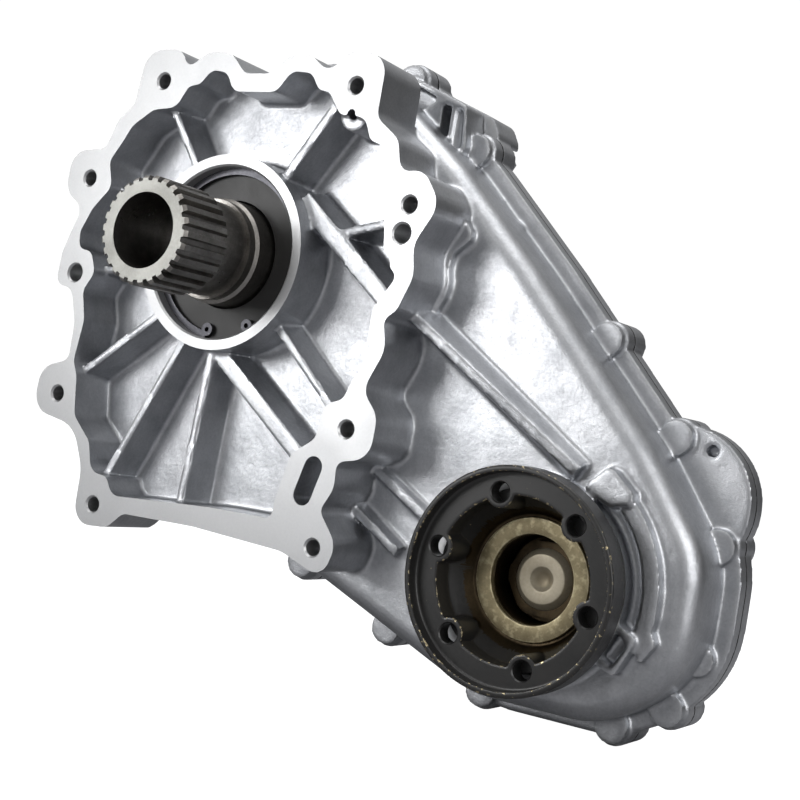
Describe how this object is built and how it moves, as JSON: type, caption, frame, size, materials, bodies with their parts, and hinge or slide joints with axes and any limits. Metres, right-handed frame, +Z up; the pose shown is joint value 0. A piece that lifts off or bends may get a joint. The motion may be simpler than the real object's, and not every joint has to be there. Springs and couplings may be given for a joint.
{
  "type": "transfer case",
  "caption": "Chain-driven vehicle transfer case: cast alloy bell and chain housing, splined hollow input shaft, planetary centre differential, front and rear flanged outputs.",
  "frame": {"origin": "where the input shaft's axis meets the bell's machined mounting face", "axes": "+X to the right as seen from the gearbox, +Y rearwards along the input axis into the case, +Z up as in the picture"},
  "size_m": [0.4197, 0.228, 0.348],
  "materials": {
    "cast_alloy": "as-cast, satin",
    "soft_alloy": "rolled, satin",
    "shaft_steel": "machined, lightly oxidised",
    "bright_steel": "ground",
    "chain_steel": "oiled",
    "spring_steel": "blued",
    "cage_steel": "pressed",
    "plated_steel": "zinc plated, satin",
    "yellow_zinc": "yellow passivated",
    "black_coat": "black, chipped at the rim",
    "bronze": "sintered",
    "seal_rubber": "moulded, semi-matt",
    "sealant": "cured, matt",
    "magnet": "sintered"
  },
  "bodies": {
    "housing": {"front_case": "cast_alloy", "rear_case": "cast_alloy", "case_sealant": "sealant", "case_bolts": "plated_steel", "case_dowels": "bright_steel", "fill_plug": "plated_steel", "drain_plug": "plated_steel", "plug_washers": "soft_alloy", "breather": "plated_steel", "chip_magnet": "magnet", "boss_circlip": "spring_steel", "input_seal": "seal_rubber", "rear_output_seal": "seal_rubber", "front_output_seal": "seal_rubber", "input_bearing_outer_race": "bright_steel", "rear_bearing_outer_race": "bright_steel", "front_output_bearing_outer_race": "bright_steel", "tail_bearing_cup": "bright_steel", "drive_chain": "chain_steel"},
    "front_drive": {"carrier": "bright_steel", "carrier_front_plate": "bright_steel", "carrier_bush": "bronze", "pinion_pins": "bright_steel", "drive_sprocket": "bright_steel"},
    "front_output": {"front_output_shaft": "shaft_steel", "driven_sprocket": "bright_steel", "front_output_flange": "black_coat", "front_flange_collar": "yellow_zinc", "front_flange_nut": "plated_steel", "front_output_bearing_inner_race": "bright_steel"},
    "rear_output": {"rear_output_shaft": "shaft_steel", "rear_output_flange": "black_coat", "rear_flange_nut": "plated_steel", "rear_bearing_inner_race": "bright_steel", "thrust_washer": "bronze"},
    "input": {"input_shaft": "shaft_steel", "input_core_plug": "plated_steel", "pilot_bush": "bronze", "ring_gear": "bright_steel", "input_bearing_inner_race": "bright_steel"},
    "input_balls": {"input_bearing_balls": "bright_steel", "input_bearing_cage": "cage_steel"},
    "rear_balls": {"rear_bearing_balls": "bright_steel", "rear_bearing_cage": "cage_steel"},
    "front_balls": {"front_output_bearing_balls": "bright_steel", "front_output_bearing_cage": "cage_steel"},
    "tail_rollers": {"tail_bearing_rollers": "bright_steel"},
    "inner_pinion_1": {"inner_pinion_1": "bright_steel"},
    "outer_pinion_1": {"outer_pinion_1": "bright_steel"},
    "inner_pinion_2": {"inner_pinion_2": "bright_steel"},
    "outer_pinion_2": {"outer_pinion_2": "bright_steel"},
    "inner_pinion_3": {"inner_pinion_3": "bright_steel"},
    "outer_pinion_3": {"outer_pinion_3": "bright_steel"}
  },
  "joints": [
    {"name": "front_drive_spin", "type": "hinge", "parent": "housing", "child": "front_drive", "pos_m": [0, 0.091, 0], "axis": [0, 1, 0], "continuous": true, "deforming": ["drive_chain"]},
    {"name": "front_output_spin", "type": "hinge", "parent": "housing", "child": "front_output", "pos_m": [0.19713, 0.071, -0.1446], "axis": [0, 1, 0], "continuous": true},
    {"name": "rear_output_spin", "type": "hinge", "parent": "front_drive", "child": "rear_output", "pos_m": [0, 0.115, 0], "axis": [0, 1, 0], "continuous": true},
    {"name": "input_spin", "type": "hinge", "parent": "front_drive", "child": "input", "pos_m": [0, 0.03, 0], "axis": [0, 1, 0], "continuous": true},
    {"name": "inner_pinion_1_spin", "type": "hinge", "parent": "front_drive", "child": "inner_pinion_1", "pos_m": [0.042, 0.0593, 0], "axis": [0, 1, 0], "continuous": true},
    {"name": "inner_pinion_2_spin", "type": "hinge", "parent": "front_drive", "child": "inner_pinion_2", "pos_m": [-0.021, 0.0593, 0.03637], "axis": [0, 1, 0], "continuous": true},
    {"name": "inner_pinion_3_spin", "type": "hinge", "parent": "front_drive", "child": "inner_pinion_3", "pos_m": [-0.021, 0.0593, -0.03637], "axis": [0, 1, 0], "continuous": true},
    {"name": "outer_pinion_1_spin", "type": "hinge", "parent": "front_drive", "child": "outer_pinion_1", "pos_m": [0.04157, 0.0593, 0.024], "axis": [0, 1, 0], "continuous": true},
    {"name": "outer_pinion_2_spin", "type": "hinge", "parent": "front_drive", "child": "outer_pinion_2", "pos_m": [-0.04157, 0.0593, 0.024], "axis": [0, 1, 0], "continuous": true},
    {"name": "outer_pinion_3_spin", "type": "hinge", "parent": "front_drive", "child": "outer_pinion_3", "pos_m": [0, 0.0593, -0.048], "axis": [0, 1, 0], "continuous": true},
    {"name": "input_balls_orbit", "type": "hinge", "parent": "housing", "child": "input_balls", "pos_m": [0, 0.0296, 0], "axis": [0, 1, 0], "continuous": true},
    {"name": "rear_balls_orbit", "type": "hinge", "parent": "housing", "child": "rear_balls", "pos_m": [0, 0.1155, 0], "axis": [0, 1, 0], "continuous": true},
    {"name": "front_balls_orbit", "type": "hinge", "parent": "housing", "child": "front_balls", "pos_m": [0.19713, 0.071, -0.1446], "axis": [0, 1, 0], "continuous": true},
    {"name": "tail_rollers_orbit", "type": "hinge", "parent": "housing", "child": "tail_rollers", "pos_m": [0.19713, 0.1085, -0.1446], "axis": [0, 1, 0], "continuous": true}
  ],
  "couplings": [
    {"joint": "front_output_spin", "follows": "front_drive_spin", "ratio": 1},
    {"joint": "input_spin", "follows": "rear_output_spin", "ratio": 0.5},
    {"joint": "inner_pinion_1_spin", "follows": "rear_output_spin", "ratio": -2.5},
    {"joint": "inner_pinion_2_spin", "follows": "rear_output_spin", "ratio": -2.5},
    {"joint": "inner_pinion_3_spin", "follows": "rear_output_spin", "ratio": -2.5},
    {"joint": "outer_pinion_1_spin", "follows": "rear_output_spin", "ratio": 2.5},
    {"joint": "outer_pinion_2_spin", "follows": "rear_output_spin", "ratio": 2.5},
    {"joint": "outer_pinion_3_spin", "follows": "rear_output_spin", "ratio": 2.5},
    {"joint": "input_balls_orbit", "follows": "front_drive_spin", "ratio": 0.439},
    {"joint": "rear_balls_orbit", "follows": "front_drive_spin", "ratio": 0.4169},
    {"joint": "front_balls_orbit", "follows": "front_drive_spin", "ratio": 0.4169},
    {"joint": "tail_rollers_orbit", "follows": "front_drive_spin", "ratio": 0.4054}
  ]
}
